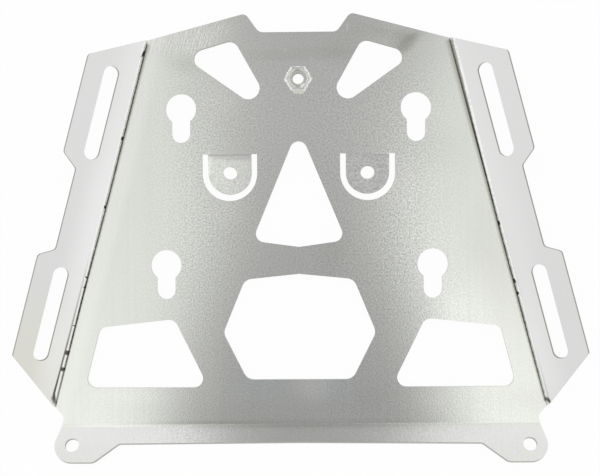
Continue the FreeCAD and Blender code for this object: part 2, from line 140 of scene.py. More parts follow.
class Bench:
    """A material's or a world's node tree, and the ways its nodes are added."""

    def __init__(self, owner: bpy.types.Material | bpy.types.World) -> None:
        """Empties the owner's node tree.

        Args:
            owner: The material or world whose tree this is.
        """
        owner.use_nodes = True
        self.owner, self.tree = owner, owner.node_tree
        self.tree.nodes.clear()

    def node(self, kind: str, values: dict | None = None, **settings: str) -> bpy.types.Node:
        """Adds one node.

        Args:
            kind: Its type's name.
            values: Each socket's name or number, and the number, colour, signal or socket for it.
            settings: Its own settings, such as an operation, which are set first.

        Returns:
            The node.
        """
        made = self.tree.nodes.new(kind)
        for name, setting in settings.items():
            setattr(made, name, setting)
        for key, value in (values or {}).items():
            if isinstance(value, Signal):
                value = value.socket
            if isinstance(value, Socket):
                self.tree.links.new(value, made.inputs[key])
            elif isinstance(value, tuple) and made.inputs[key].type == "RGBA":
                made.inputs[key].default_value = (*value, 1.0)
            else:
                made.inputs[key].default_value = value
        return made

    def math(self, operation: str, *values: "Signal | float") -> Signal:
        """Adds one Math node on one or more values."""
        made = self.node("ShaderNodeMath", dict(enumerate(values)), operation=operation)
        return Signal(self, made.outputs[0])

    def vector(self, operation: str, values: dict) -> bpy.types.Node:
        """Adds one Vector Math node on the values of its sockets."""
        return self.node("ShaderNodeVectorMath", values, operation=operation)

    def mix(self, share: Signal, first: Colour | Socket, second: Colour | Socket,
            blend: str = "MIX") -> Socket:
        """The first colour, mixed with or multiplied by the second where the share is 1."""
        made = self.node("ShaderNodeMix", {MIX_SHARE: share, MIX_FIRST: first, MIX_SECOND: second},
                         data_type="RGBA", blend_type=blend)
        return made.outputs[MIX_RESULT]

    def millimetres(self) -> Socket:
        """The place on the object, in the part's own frame."""
        place = self.node("ShaderNodeTexCoord").outputs["Object"]
        return self.stretched(place, (1 / MM, 1 / MM, 1 / MM))

    def stretched(self, place: Socket, factors: Triple, turn: float = 0.0) -> Socket:
        """The place turned about Z and then drawn out or pressed together."""
        if turn:
            place = self.node("ShaderNodeVectorRotate", {
                "Vector": place, "Angle": math.radians(turn)}, rotation_type="Z_AXIS").outputs[0]
        return self.vector("MULTIPLY", {0: place, 1: factors}).outputs[0]

    def axes(self, place: Socket) -> tuple[Signal, Signal, Signal]:
        """The three parts of a place or direction."""
        split = self.node("ShaderNodeSeparateXYZ", {0: place})
        return tuple(Signal(self, socket) for socket in split.outputs)

    def reach(self, place: Socket) -> Signal:
        """How far a place is from the origin."""
        return Signal(self, self.vector("LENGTH", {0: place}).outputs["Value"])

    def spot(self, place: Socket, centre: Pair, half: Pair, turn: float = 0.0,
             soft: float = SOFT_RIM) -> Signal:
        """A filled ellipse with a soft rim.

        Args:
            place: Where it is read.
            centre: Its middle, X and Y.
            half: Half its length and half its width.
            turn: The angle of its length from X.
            soft: Half the rim's width, as a share of the ellipse's size.

        Returns:
            1 inside, and 0 outside.
        """
        moved = self.node("ShaderNodeMapping", {
            "Vector": place, "Location": (*centre, 0.0),
            "Rotation": (0.0, 0.0, math.radians(turn)), "Scale": (*half, TALL)},
            vector_type="TEXTURE")
        return self.reach(moved.outputs[0]).rise(1 + soft, 1 - soft)

    def metal(self, colour: Socket, roughness: Signal, height: Signal,
              metallic: Signal | float = 1.0) -> bpy.types.Material:
        """Ends the tree in one metal surface.

        Args:
            colour: Its base colour.
            roughness: Its roughness.
            height: Its relief.
            metallic: How metallic it is, from 0 to 1.

        Returns:
            The material whose tree this is.
        """
        relief = self.node("ShaderNodeBump", {"Strength": 1.0, "Distance": MM, "Height": height})
        shader = self.node("ShaderNodeBsdfPrincipled", {
            "Base Color": colour, "Roughness": roughness, "Metallic": metallic,
            "Normal": relief.outputs[0]})
        self.node("ShaderNodeOutputMaterial", {"Surface": shader.outputs[0]})
        return self.owner


@dataclass(frozen=True)
class Texture:
    """Smooth noise from about -0.3 to 0.3, whose largest blobs are as large as the grain.

    It can be turned about Z and then stretched: a factor below 1 draws the blobs out.
    """
    grain: float
    detail: float = 2.0
    roughness: float = 0.5
    stretch: Triple | None = None
    turn: float = 0.0

    def over(self, bench: Bench, place: Socket) -> Signal:
        """Reads the noise.

        Args:
            bench: The material's bench.
            place: Where it is read.

        Returns:
            The noise there.
        """
        if self.stretch:
            place = bench.stretched(place, self.stretch, self.turn)
        made = bench.node("ShaderNodeTexNoise", {
            "Vector": place, "Scale": 1 / self.grain,
            "Detail": self.detail, "Roughness": self.roughness})
        return Signal(bench, made.outputs[0]) - 0.5


class Side(Enum):
    """The two sides of the plate, by the sign of X."""
    LEFT = -1.0
    RIGHT = 1.0


class Tone(Enum):
    """The colours that marks lay on the sheet: painted shade, painted light and highlights, tints
    and stains.
    """
    # painted light: lighter patches on the deck and wings, and a few small pale specks
    PAINTED_LIGHT = (0.97, 0.965, 0.965)
    COOL = (0.80, 0.84, 0.89)
    STAIN = (0.86, 0.83, 0.66)
    WARM = (0.80, 0.79, 0.69)
    # painted shade and dark painted reflections, in soft grey patches
    SOFT_SHADE = (0.60, 0.61, 0.57)
    # painted shade: the dark lines and flecks along the folds
    DEEP_SHADE = (0.125, 0.12, 0.095)
    # painted highlight: glints, flecks and strips along the folds and bends, spots at the tabs'
    # corners, and the nut's bright spot
    PAINTED_HIGHLIGHT = (0.985, 0.985, 0.97)


@dataclass(frozen=True)
class Mark:
    """A patch of painted shade, painted light, tint or stain: an ellipse with its length turned
    from X, and a soft rim.
    """
    tone: Tone
    centre: Pair
    half: Pair
    turn: float = 0.0
    soft: float = SOFT_RIM
    strength: float = 1.0

    def lay(self, bench: Bench, place: Socket, colour: Socket, within: Signal | float = 1.0,
            usual: Colour | None = None) -> Socket:
        """Lays the mark on a colour.

        Args:
            bench: The material's bench.
            place: Where the mark is read.
            colour: The colour so far.
            within: Where the mark may show, from 0 to 1.
            usual: The colour that the mark turns into its own tone by multiplying, so that
                the speckle shows through. Without it, the mark hides what is beneath.

        Returns:
            The colour with the mark.
        """
        share = bench.spot(place, self.centre, self.half, self.turn, self.soft) * self.strength
        tone, blend = self.tone.value, "MIX"
        if usual:
            tone, blend = tuple(own / plain for own, plain in zip(tone, usual)), "MULTIPLY"
        return bench.mix(share * within, colour, tone, blend)


def marks(tone: Tone, *rows: tuple[float, ...]) -> tuple[Mark, ...]:
    """Marks of one tone: X, Y, half length, half width, turn, softness and strength of each."""
    return tuple(Mark(tone, row[:2], row[2:4], *row[4:]) for row in rows)


@dataclass(frozen=True)
class Site:
    """Where on the sheet a point of its surface lies, and the two noises that it reads there.

    Upper, wing, cut, right and tab are 1 on the sheet's upper side, on a wing, on a cut
    edge, on the right side and on a tab, and 0 elsewhere.
    """
    bench: Bench
    place: Socket
    x: Signal
    y: Signal
    out: Signal
    along: Signal
    upper: Signal
    wing: Signal
    cut: Signal
    right: Signal
    tab: Signal
    fine: Signal
    rolled: Signal

    def facing(self) -> Signal:
        """1 on the sheet's upper side and -1 on its underside."""
        return self.upper * 2.0 - 1.0


@dataclass(frozen=True)
class FoldShading:
    """The painted shade and highlights along the fold line of one side, by the distance along it
    from its front end.

    Distances across it are outside the fold. Those of the centre have 1 mm added, which
    keeps them above 0.
    """
    side: Side
    centre: Stops  # where the painted dark line's middle runs
    shade: Stops  # how wide the shade inside it is
    gloom: Stops  # how strong that shade is
    half: Stops  # half the dark line's width
    depth: Stops  # how strong the line is
    rim: Stops  # how strong the flecks of painted highlight outside it are
    strip: Stops  # how strong the whole strip of painted highlight there is
    outer: Stops  # how strong the painted dark line beyond that strip is
    outer_place: Stops  # where the latter runs
    ends: Pair
    marks: tuple[Mark, ...]
    shade_tint: Colour = (0.30, 0.30, 0.25)
    line_shade_tint: Colour = (0.12, 0.115, 0.095)
    ragged: Texture = Texture(1.5, 3.0, 0.6)
    fleck: Texture = Texture(2.6)
    line_stray: float = 0.9
    outer_stray: float = 0.4
    mark_stray: float = 0.5
    side_step: Pair = (1.0, 2.0)
    front_step: Pair = (-1.0, 1.5)
    rear_step: Pair = (0.5, -1.5)
    glint_steps: tuple[Pair, Pair] = ((0.0, 0.4), (1.1, 0.8))
    shade_step: Pair = (-1.2, -0.1)  # in shares of the shade's width
    shade_end_step: Pair = (0.6, 0.1)
    line_step: Pair = (0.34, -0.22)
    fleck_step: Pair = (-0.14, 0.0)
    rim_band: Triple = (1.25, 0.5, 0.4)
    strip_band: Triple = (1.2, 0.32, 0.28)
    outer_step: Pair = (0.85, 0.15)

    def lay(self, site: Site, colour: Socket) -> Socket:
        """Lays the fold's painted shade, its painted dark line and the painted highlights beyond
        it on the sheet.

        Args:
            site: Where on the sheet the point lies.
            colour: The sheet's colour so far.

        Returns:
            The colour with the fold's painted shade and highlights in it.
        """
        bench, out, along = site.bench, site.out, site.along
        ragged = self.ragged.over(bench, site.place)
        start, end = self.ends
        own = (site.x * site.facing().larger(0.0) * self.side.value).rise(*self.side_step)
        inside = own * (along - start).rise(*self.front_step) * (along - end).rise(*self.rear_step)
        # painted highlight along the bend's arc
        glint = own
        for step in self.glint_steps:
            glint = glint * out.rise(*step)
        colour = bench.mix(glint, colour, Tone.PAINTED_HIGHLIGHT.value)

        # painted shade inside the fold, and a painted dark line along it
        beyond = out - (along.curve(self.centre) - 1.0) + ragged * self.line_stray
        shade = (beyond / along.curve(self.shade)).rise(*self.shade_step)
        shade = shade * beyond.rise(*self.shade_end_step) * along.curve(self.gloom)
        colour = bench.mix(shade * inside, colour, self.shade_tint)
        line = (abs(beyond) - along.curve(self.half)).rise(*self.line_step)
        colour = bench.mix(line * along.curve(self.depth) * inside, colour, self.line_shade_tint)

        # painted highlight in flecks and a strip outside the line, then a painted dark line beyond
        flecks = self.fleck.over(bench, site.place).rise(*self.fleck_step)
        rim = beyond.band(*self.rim_band) * along.curve(self.rim) * flecks
        strip = beyond.band(*self.strip_band) * along.curve(self.strip)
        colour = bench.mix(rim.larger(strip) * inside, colour, Tone.PAINTED_HIGHLIGHT.value)
        outer = out - along.curve(self.outer_place) + ragged * self.outer_stray
        outer = abs(outer).rise(*self.outer_step) * along.curve(self.outer)
        colour = bench.mix(outer * inside, colour, Tone.DEEP_SHADE.value)

        # dark and bright flecks of painted shade and highlight along the line
        local = bench.node("ShaderNodeCombineXYZ", {0: along, 1: out + ragged * self.mark_stray})
        for mark in self.marks:
            colour = mark.lay(bench, local.outputs[0], colour, own)
        return colour


@dataclass(frozen=True)
class SoftBend:
    """How a bend across the plate turns at once at first and then runs out gently.

    Its lengths run towards the rear. The solid has one arc; the real bend has a crisp arc
    and a long one that start together and share the slope between them.
    """
    solid_start: float
    solid_arc: float
    start: float
    long_arc: float
    angle: float
    crisp_arc: float = 0.3
    crisp_share: float = 0.5

    def drop(self, run: Signal, width: float) -> Signal:
        """How far a surface has bent: the run's square over twice the width, then straight."""
        share = (run * (1 / width)).larger(0.0).smaller(1.0)
        return share * share * (width / 2) + (run - width).larger(0.0)

    def relief(self, y: Signal) -> Signal:
        """Finds the height that turns the solid's bend into the real one.

        Args:
            y: The place's Y.

        Returns:
            The real bend's height less the solid's.
        """
        run = self.start - y
        real = (self.drop(run, self.crisp_arc) * self.crisp_share
                + self.drop(run, self.long_arc) * (1 - self.crisp_share))
        solid = self.drop(self.solid_start - y, self.solid_arc)
        return (real - solid) * math.tan(math.radians(self.angle))


REAR_BEND = SoftBend(solid_start=-213.86, solid_arc=0.84, start=-214.1, long_arc=6.0, angle=25.0)
TAB_BEND = SoftBend(solid_start=-48.2, solid_arc=1.55, start=-47.0, long_arc=4.6, angle=-18.0)
# The painted shade and highlights along each side's fold, with dark and bright flecks of painted
# shade and highlight
LEFT_FOLD_SHADING = FoldShading(
    Side.LEFT,
    centre=((0, 0.46), (110, 0.41), (124, 0.5), (144, 0.72), (161, 0.95), (200, 1), (210, 1.15),
            (230, 1.2)),
    shade=((0, 2.7), (20, 2), (100, 1.55), (150, 1.3), (200, 1.2)),
    gloom=((0, 0.85), (195, 0.85), (214, 0.5), (230, 0.35)),
    half=((0, 0.44), (110, 0.44), (150, 0.38), (185, 0.24), (230, 0.15)),
    depth=((0, 1), (150, 1), (185, 0.75), (200, 0.5), (212, 0.15), (229, 0)),
    rim=((0, 0.8), (120, 0.9), (150, 1), (184, 0.6), (190, 0)),
    strip=((153, 0), (158, 0.9), (170, 0.9), (172, 0.35), (182, 0.5), (186, 1), (229, 1)),
    outer=((135, 0), (155, 0.3), (185, 0.65), (205, 0.9), (228, 1)),
    outer_place=((150, 1.78), (190, 1.9), (222, 2.25)),
    ends=(2.0, 231.0),
    marks=(marks(Tone.DEEP_SHADE, (152.2, 0.75, 0.55, 0.8), (158.6, 0.5, 0.5, 0.5),
                 (200.6, 1.05, 1.5, 1.25, 0, 0.25), (211.2, 1.05, 1.3, 1.2, 12, 0.25),
                 (183.2, 0.9, 0.35, 0.6), (229.4, 1.7, 3, 0.75, -14, 0.6),
                 (231.4, 1.3, 2.6, 1.2, -35, 0.8, 0.7), (224, 2.4, 5, 0.5, 2, 0.6),
                 (63, 0.3, 1.2, 0.5), (107, 0.35, 1, 0.4), (8, 0.1, 3, 0.5, 14))
           + marks(Tone.PAINTED_HIGHLIGHT, (152.8, 1.5, 1, 0.25))))
RIGHT_FOLD_SHADING = FoldShading(
    Side.RIGHT,
    centre=((0, 2.25), (8, 2.15), (26, 1.85), (48, 1.5), (65, 1.26), (80, 1.04), (99, 0.8),
            (124, 0.53), (230, 0.5)),
    shade=((0, 4.6), (20, 4.3), (50, 3.6), (75, 2.7), (105, 2.2), (230, 1.4)),
    gloom=((0, 0.8), (60, 0.8), (100, 0.85), (230, 0.85)),
    half=((0, 0.42), (24, 0.36), (60, 0.32), (110, 0.44), (190, 0.44), (205, 0.34), (228, 0.24)),
    depth=((0, 0.05), (26, 0.15), (50, 0.28), (75, 0.6), (105, 0.95), (205, 1), (230, 0.7)),
    rim=((0, 0.7), (30, 0.9), (110, 0.7), (150, 0.8), (165, 0.9), (190, 0.2)),
    strip=((186, 0), (193, 0.85), (229, 1)),
    outer=((196, 0), (214, 0.12), (228, 0.25)),
    outer_place=((150, 1.6), (230, 1.7)),
    ends=(1.0, 233.0),
    marks=(marks(Tone.PAINTED_HIGHLIGHT, (162, 0.75, 1.3, 0.35), (165.3, 0.8, 0.9, 0.35))
           + marks(Tone.DEEP_SHADE, (232.3, 1.3, 2.2, 0.9, 18, 0.5), (156, 0.4, 1.6, 0.45, 10),
                   (163.8, 0.35, 0.9, 0.5), (119, 0.3, 1.3, 0.45))
           + marks(Tone.SOFT_SHADE, (160, 1.7, 8, 0.9, 0, 0.8, 0.12))))
# The deck's patches, most of them painted: soft painted shade and dark painted reflections across
# the deck, strongest at the front right, along the rear bend and at the ears' ends; painted light
# in lighter patches and small pale specks; painted highlights at the tabs' corners and on the rear
# bend; a few cool tints and small stains
DECK_SHADE_AND_LIGHT = (
    marks(Tone.SOFT_SHADE, (67.6, 20.8, 7.6, 3.6, 42, 0.6, 0.72), (65.5, 23.5, 9.5, 5.6, 40, 0.8, 0.5),
          (73, 26.4, 8, 2, 22, 0.8, 0.3), (53, 27.5, 22, 2.4, -6, 0.9, 0.22),
          (44, 32, 18, 1.3, -13, 0.8, 0.12), (2, 15.2, 34, 4, 2, 0.4, 0.19),
          (29, 18, 13, 9, 0, 0.8, 0.22), (-70, -16, 27, 9, 100, 0.9, 0.13),
          (87, -44, 14, 12, 0, 0.9, 0.13), (20, -106, 16, 8, 80, 0.9, 0.17),
          (-69.5, 10, 11, 5.5, -8, 0.9, 0.38), (-35, -216, 34, 11, 0, 0.9, 0.11),
          (106, -112, 7, 20, 0, 0.9, 0.11), (143, -199, 22, 7, 0, 0.8, 0.14),
          (45, -199, 10, 7, 0, 0.8, 0.1), (-60, -213.2, 34, 0.9, 0, 0.7, 0.35),
          (10, -213.4, 70, 2.2, 0, 0.8, 0.25), (3, -215, 68, 1.3, 0, 0.9, 0.35),
          (14, -225.6, 72, 1.2, 0, 0.5, 0.55), (122, -119, 34, 10, 102, 0.9, 0.22),
          (-141, -234, 24, 9, 0, 0.8, 0.12), (141, -234, 24, 9, 0, 0.8, 0.12))
    + marks(Tone.PAINTED_LIGHT, (-62, 24.5, 17, 7, 14, 0.9, 0.4), (-45, -12, 10, 9, -30, 0.9, 0.35),
            (-90, 23.5, 6.5, 4.5, 0, 0.9, 0.3), (-116, -83.4, 115, 5.5, 75.6, 0.6, 0.4),
            (58, -66, 17, 12, 0, 0.9, 0.3), (92, -146, 9, 11, 0, 0.9, 0.35),
            (-43, -82, 9, 8, 0, 0.9, 0.3), (81, -199, 9, 7, 0, 0.9, 0.35),
            (-100, -196, 22, 5, 0, 0.9, 0.3), (8, -190, 11, 9, 0, 0.8, 0.9),
            (-8.1, 17.5, 1, 1.1, 0, 0.8, 0.7), (12.6, 7.7, 0.55, 0.55, 0, 0.6),
            (8.3, 12.4, 1.3, 2, -20, 0.9, 0.35), (-3.4, -16.2, 0.6, 0.4, 0, 0.8, 0.6),
            (30.7, 31.5, 0.6, 2.8, 0, 0.8))
    + marks(Tone.COOL, (-22, -191, 16, 7, 0, 0.8, 0.45), (22, -192, 11, 8, 0, 0.8, 0.45))
    + marks(Tone.PAINTED_HIGHLIGHT, (-55.6, -51.5, 1.6, 6.5, 0, 0.6, 0.75), (56.6, -51.5, 1.7, 7, 0, 0.7, 0.7),
            (-118, -214.8, 26, 0.9, 0, 0.7, 0.8))
    + marks(Tone.STAIN, (-144.5, -215, 1.3, 1, 0, 0.6, 0.5), (137.3, -230.5, 0.9, 0.7),
            (139.8, -231.8, 0.7, 0.6), (-141.6, -213, 0.9, 2.2, 0, 0.8, 0.25)))
# The wings' patches: a warm tint on the left wing, and painted light on both
WING_LIGHT_AND_TINT = (
    marks(Tone.WARM, (-171, -186, 19, 44, -14, 0.7, 0.6))
    + marks(Tone.PAINTED_LIGHT, (-152.5, -170, 7, 22, -14, 0.9, 0.4), (172, -182, 12, 28, 14, 0.9, 0.12)))


@dataclass(frozen=True)
class MillAluminium:
    """Rolled aluminium sheet, cut and folded, with painted shade and highlights along its folds
    and edges, painted light and shade in patches, and a few tints and stains.
    """
    deck_tint: Colour = (0.985, 0.992, 0.974)
    dull_tint: Colour = (0.62, 0.628, 0.61)
    mean_tint: Colour = (0.829, 0.833, 0.819)
    # painted shade: the wings' tint is set darker than the deck's
    wing_tint: Colour = (0.775, 0.777, 0.775)
    # painted light on the wings beside the folds
    wing_light_tint: Colour = (0.895, 0.895, 0.895)
    # painted light and shade on the cut edges, by where they lie
    lit_cut_tint: Colour = (0.62, 0.62, 0.59)
    shaded_cut_tint: Colour = (0.30, 0.28, 0.24)
    rear_cut_tint: Colour = (0.42, 0.41, 0.38)
    fold_shadings: tuple[FoldShading, ...] = (LEFT_FOLD_SHADING, RIGHT_FOLD_SHADING)
    deck_shade_and_light: tuple[Mark, ...] = DECK_SHADE_AND_LIGHT
    wing_light_and_tint: tuple[Mark, ...] = WING_LIGHT_AND_TINT
    fine: Texture = Texture(1.1, 3.0, 0.6)
    broad: Texture = Texture(45.0)
    rolled: Texture = Texture(2.4, stretch=(1.0, 0.02, 1.0))
    stroke: Texture = Texture(1.5, 4.0, 0.65, (1.0, 0.13, 1.0), 17.0)
    striae: Texture = Texture(0.8, stretch=(2.2, 2.2, 0.05))
    brushed_place: Pair = (-69.4, 25.5)
    brushed_half: Pair = (26.0, 9.0)
    brushed_turn: float = 15.0

    upper_step: Pair = (-0.1, 0.1)
    upright_step: Pair = (0.62, 0.5)
    wing_step: Pair = (0.2, 0.8)
    bend_band: Triple = (0.0, 1.3, 0.3)
    right_step: Pair = (-1.0, 1.0)
    front_edge_step: Pair = (-6.0, 2.0)
    rear_edge_step: Pair = (-220.0, -224.0)
    arc_steps: tuple[Pair, Pair] = ((0.05, 0.3), (1.0, 0.75))
    tab_middle: Pair = (42.8, -58.0)
    tab_step: Pair = (15.4, 14.3)
    tab_root_step: Pair = (-44.0, -44.6)
    tab_tip_step: Pair = (-78.0, -58.0)

    dullness: float = 0.435
    broad_level: float = 0.12
    rolled_level: float = 0.08
    grain_strength: float = 4.0
    grain_tab: float = 0.45
    grain_levels: Stops = (
        (-104, 0.03), (-92, 0.09), (-80, 0.26), (-68, 0.62), (-55, 0.76), (-43, 0.77),
        (-30, 0.84), (-18, 0.66), (-6, 0.52), (7, 0.60), (19, 0.80), (32, 0.92), (44, 0.99),
        (56, 1.1), (69, 0.82), (81, 0.49), (94, 0.14), (106, 0.04))
    grain_rows: Stops = ((-222, 0.45), (-214, 0.68), (-150, 0.9), (-90, 1.0), (-15, 1.0),
                         (20, 0.55))
    wing_light_step: Pair = (20.0, 2.0)
    left_wing_light: Stops = ((0, 0.55), (50, 0.7), (100, 1.0))
    right_wing_light: Stops = ((0, 0.15), (110, 0.45), (150, 0.55), (190, 0.9))
    sheen: float = 0.14
    fine_matt: float = 0.16
    rolled_matt: float = 0.03
    cut_matt: float = 0.25
    arc_matt: float = 0.4
    arc_loss: float = 0.8
    fine_height: float = 0.012
    striae_height: float = 0.12
    stroke_height: float = 0.06

    def survey(self, bench: Bench, plate: "FoldedPlate") -> Site:
        """Finds out where on the sheet a point lies.

        Args:
            bench: The material's bench.
            plate: The folded plate, whose fold lines the painted shade and highlights follow.

        Returns:
            The point's site.
        """
        place = bench.millimetres()
        x, y, _ = bench.axes(place)
        upright = bench.axes(bench.node("ShaderNodeTexCoord").outputs["Normal"])[2]
        out, along = plate.from_fold(x, y)
        unbent = out.band(*self.bend_band).rise(1.0, 0.0)
        beside, below = abs(x) - self.tab_middle[0], (y - self.tab_middle[1]).smaller(0.0)
        tab = (beside * beside + below * below).rise(*(edge ** 2 for edge in self.tab_step))
        return Site(bench, place, x, y, out, along, upright.rise(*self.upper_step),
                    out.rise(*self.wing_step), abs(upright).rise(*self.upright_step) * unbent,
                    x.rise(*self.right_step), tab * y.rise(*self.tab_root_step),
                    self.fine.over(bench, place), self.rolled.over(bench, place))

    def rolled_colour(self, site: Site) -> Socket:
        """The colour before the patches: cloudy and speckled, with the wings' darker tint and
        painted light on the wings beside the folds.

        Args:
            site: Where on the sheet the point lies.

        Returns:
            The colour.
        """
        bench, along = site.bench, site.along
        speckle = (site.x.curve(self.grain_levels) * site.y.curve(self.grain_rows)
                   * (1.0 - (1.0 - site.right) * site.tab * self.grain_tab) * self.grain_strength)
        cloud = (self.broad.over(bench, site.place) * self.broad_level
                 + site.rolled * self.rolled_level + site.fine * speckle + self.dullness)
        deck = bench.mix(cloud.larger(0.0).smaller(1.0), self.deck_tint, self.dull_tint)
        # painted light on the wings beside the folds, stronger towards the rear
        glow = along.curve(self.left_wing_light).towards(along.curve(self.right_wing_light), site.right)
        glow = site.out.rise(*self.wing_light_step) * glow
        return bench.mix(site.wing, deck, bench.mix(glow, self.wing_tint, self.wing_light_tint))

    def shaded_and_stained_colour(self, site: Site, colour: Socket) -> Socket:
        """Adds the painted shade and light in patches, the tints and stains, the cut edges'
        painted shade and light, and the folds' painted shade and highlights.

        Args:
            site: Where on the sheet the point lies.
            colour: The colour before them.

        Returns:
            The colour with them.
        """
        bench, place, y = site.bench, site.place, site.y
        for mark in self.deck_shade_and_light:
            colour = mark.lay(bench, place, colour, site.upper, self.mean_tint)
        colour = bench.vector("MINIMUM", {0: colour, 1: WHITE}).outputs[0]
        for mark in self.wing_light_and_tint:
            colour = mark.lay(bench, place, colour, site.upper * site.wing)
        # painted shade and light on the cut edges: dark on the wings and towards the front, pale
        # between them, mid at the rear
        edge = bench.mix(site.wing.larger(y.rise(*self.front_edge_step)),
                         self.lit_cut_tint, self.shaded_cut_tint)
        edge = bench.mix(y.rise(*self.rear_edge_step), edge, self.rear_cut_tint)
        colour = bench.mix(site.cut, colour, edge)
        for fold_shading in self.fold_shadings:
            colour = fold_shading.lay(site, colour)
        return colour

    def relief(self, site: Site) -> Signal:
        """The fine height of the surface.

        Args:
            site: Where on the sheet the point lies.

        Returns:
            The grain, the cut edges' striae, the brushed strokes and the bends' soft run-out.
        """
        bench, place, y = site.bench, site.place, site.y
        striae = self.striae.over(bench, place) * site.cut * self.striae_height
        brushed = bench.spot(place, self.brushed_place, self.brushed_half, self.brushed_turn)
        stroke = self.stroke.over(bench, place) * brushed * site.upper * self.stroke_height
        tab_bend = TAB_BEND.relief(y) * site.tab * y.rise(*self.tab_tip_step)
        bends = (REAR_BEND.relief(y) + tab_bend) * site.facing()
        return site.fine * self.fine_height + striae + stroke + bends

    def make(self, plate: "FoldedPlate") -> bpy.types.Material:
        """The sheet's material.

        Args:
            plate: The folded plate, whose fold lines the painted shade and highlights follow.

        Returns:
            The material.
        """
        bench = Bench(bpy.data.materials.new("mill_aluminium"))
        site = self.survey(bench, plate)
        colour = self.shaded_and_stained_colour(site, self.rolled_colour(site))
        inner, outer = self.arc_steps
        arc = site.out.rise(*inner) * site.out.rise(*outer)
        matt = (self.sheen + site.fine * self.fine_matt + site.rolled * self.rolled_matt
                + site.cut * self.cut_matt + arc * self.arc_matt)
        return bench.metal(colour, matt, self.relief(site), 1.0 - arc * self.arc_loss)


@dataclass
class FoldedPlate:
    """The folded sheet, whose solid comes from the frame."""
    fold_front: Pair = (93.9, 24.6)
    fold_rear: Pair = (152.6, -203.3)
    finish: MillAluminium = MillAluminium()

    def from_fold(self, x: Signal, y: Signal) -> tuple[Signal, Signal]:
        """Where a place lies beside the fold line of its own side, seen from above.

        Args:
            x: The place's X, of either sign.
            y: Its Y.

        Returns:
            The distance outside the line, and the distance along it from its front end.
        """
        run = (self.fold_rear[0] - self.fold_front[0], self.fold_rear[1] - self.fold_front[1])
        length = math.hypot(*run)
        along_x, along_y = run[0] / length, run[1] / length
        beyond = abs(x) - self.fold_front[0]
        behind = y - self.fold_front[1]
        return beyond * -along_y + behind * along_x, beyond * along_x + behind * along_y

    def build(self) -> bpy.types.Object:
        """Dresses the frame's own solid.

        Returns:
            The solid.
        """
        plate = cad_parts["mounting_plate"]
        material = self.finish.make(self)
        for slot in plate.material_slots:
            slot.material = material
        return plate


def linked(name: str, data: bpy.types.ID) -> bpy.types.Object:
    """Makes an object and links it to the scene.

    Args:
        name: Its name.
        data: Its mesh, lamp or camera.

    Returns:
        The object.
    """
    holder = bpy.data.objects.new(name, data)
    bpy.context.scene.collection.objects.link(holder)
    return holder


def grid_mesh(name: str, points: np.ndarray) -> bpy.types.Object:
    """A closed ring of a mesh: a grid of points whose rows and columns both join up.

    Args:
        name: The piece's name.
        points: The places, as rows of columns of three numbers.

    Returns:
        The piece, linked to the scene, with its faces outwards.
    """
    rows, columns = points.shape[:2]
    row, column = np.meshgrid(np.arange(rows), np.arange(columns), indexing="ij")
    next_row, next_column = (row + 1) % rows, (column + 1) % columns
    corners = ((row, column), (row, next_column), (next_row, next_column), (next_row, column))
    faces = np.stack([at_row * columns + at_column for at_row, at_column in corners], -1)
    faces = faces.reshape(-1, 4)
    flat = points.reshape(-1, 3) * MM
    one, two, three, four = (flat[faces[:, corner]] for corner in range(4))
    volume = np.sum(one * np.cross(two, three)) + np.sum(one * np.cross(three, four))
    if volume < 0:
        faces = faces[:, ::-1]
    mesh = bpy.data.meshes.new(name)
    mesh.from_pydata(flat.tolist(), [], faces.tolist())
    mesh.shade_smooth()
    mesh.set_sharp_from_angle(angle=math.radians(SHARP_ANGLE))
    return linked(name, mesh)


def around(radius: np.ndarray, turn: np.ndarray, level: np.ndarray) -> np.ndarray:
    """The places at a radius, a turn about the nut's axis in radians, and a level."""
    return np.stack([radius * np.cos(turn), radius * np.sin(turn), level], -1)


@dataclass(frozen=True)
class BrightSteel:
    """Zinc-plated steel, turned and then pressed."""
    tint: Colour = (0.80, 0.81, 0.79)
    worn_tint: Colour = (0.50, 0.50, 0.47)
    thread_tint: Colour = (0.60, 0.60, 0.575)
    # painted shade for the ring where the thread begins
    gap_tint: Colour = (0.16, 0.16, 0.15)
    # painted highlight: the spot where the nut's bright reflection lies
    highlight_spot: Mark = Mark(Tone.PAINTED_HIGHLIGHT, (2.8, -4.1), (1.3, 0.8), 30.0, 0.5, 0.75)
    fine: Texture = Texture(0.7, 3.0)
    blotch: Texture = Texture(2.5)
    blotch_step: Pair = (0.0, 0.2)
    blotch_level: float = 0.5
    bore_step: Pair = (5.15, 4.85)
    ring_band: Triple = (5.15, 0.08, 0.2)
    ring_stray: float = 0.6
    ring_levels: Pair = (0.3325, 0.665)
    ring_step: Pair = (-3.0, 3.5)
    sheen: float = 0.22
    fine_matt: float = 0.3
    bore_matt: float = 0.36
    fine_height: float = 0.01

    def make(self) -> bpy.types.Material:
        """Makes the steel, with a ring of painted shade where the thread begins, stronger towards
        one side, and a spot of painted highlight.

        Returns:
            The material.
        """
        bench = Bench(bpy.data.materials.new("bright_steel"))
        place = bench.millimetres()
        fine = self.fine.over(bench, place)
        blotch = self.blotch.over(bench, place).rise(*self.blotch_step) * self.blotch_level
        colour = bench.mix(blotch, self.tint, self.worn_tint)
        reach = bench.reach(bench.stretched(place, (1.0, 1.0, 0.0)))
        bore = reach.rise(*self.bore_step)
        colour = bench.mix(bore, colour, self.thread_tint)
        across, ahead, _ = bench.axes(place)
        # painted shade: a dark ring at the bore's edge, stronger towards one side
        faint, strong = self.ring_levels
        level = (across + ahead).rise(*self.ring_step) * (strong - faint) + faint
        ring = (reach + fine * self.ring_stray).band(*self.ring_band) * level
        colour = bench.mix(ring, colour, self.gap_tint)
        colour = self.highlight_spot.lay(bench, place, colour)
        matt = self.sheen + fine * self.fine_matt + bore * self.bore_matt
        return bench.metal(colour, matt, fine * self.fine_height)


